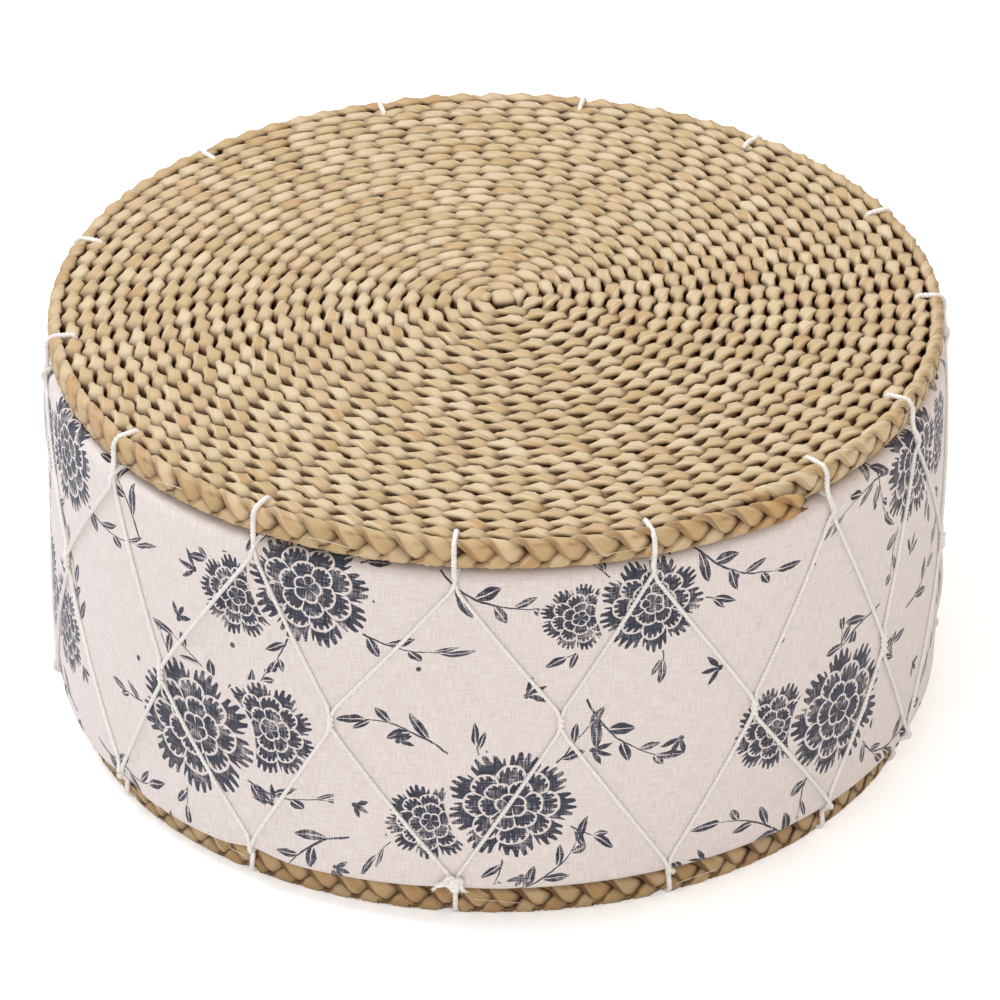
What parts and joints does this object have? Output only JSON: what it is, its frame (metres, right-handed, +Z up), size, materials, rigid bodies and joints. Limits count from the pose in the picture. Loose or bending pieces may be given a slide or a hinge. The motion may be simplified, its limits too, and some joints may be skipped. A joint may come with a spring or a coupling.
{
  "type": "floor stool",
  "caption": "Low round floor stool: a plaited rush coil mat above and below a padded drum in printed cloth, laced together with cotton cord in a diamond net.",
  "frame": {"origin": "on the floor under the middle of the stool, at the centre of the base mat's underside", "axes": "+Z up, -Y towards the front, where the cord is knotted, +X to the right seen from the front"},
  "size_m": [0.4605, 0.4648, 0.219],
  "materials": {
    "plaited_rush": "dry plaited plant fibre, straw to tan",
    "printed_cotton": "off-white plain-weave cotton with a dark blue block print",
    "cotton_cord": "twisted off-white cotton",
    "calico": "unbleached plain-weave cotton",
    "wadding": "soft polyester wadding",
    "foam": "firm upholstery foam"
  },
  "bodies": {
    "root": {"base_mat_coil": "plaited_rush", "seat_mat_coil": "plaited_rush", "side_cloth_band": "printed_cotton", "wadding_wrap": "wadding", "foam_disc_1": "foam", "foam_disc_2": "foam", "foam_disc_3": "foam", "base_lining_disc": "calico", "seat_lining_disc": "calico", "lacing_cord_a": "cotton_cord", "lacing_cord_b": "cotton_cord", "lacing_knot": "cotton_cord"}
  },
  "joints": []
}
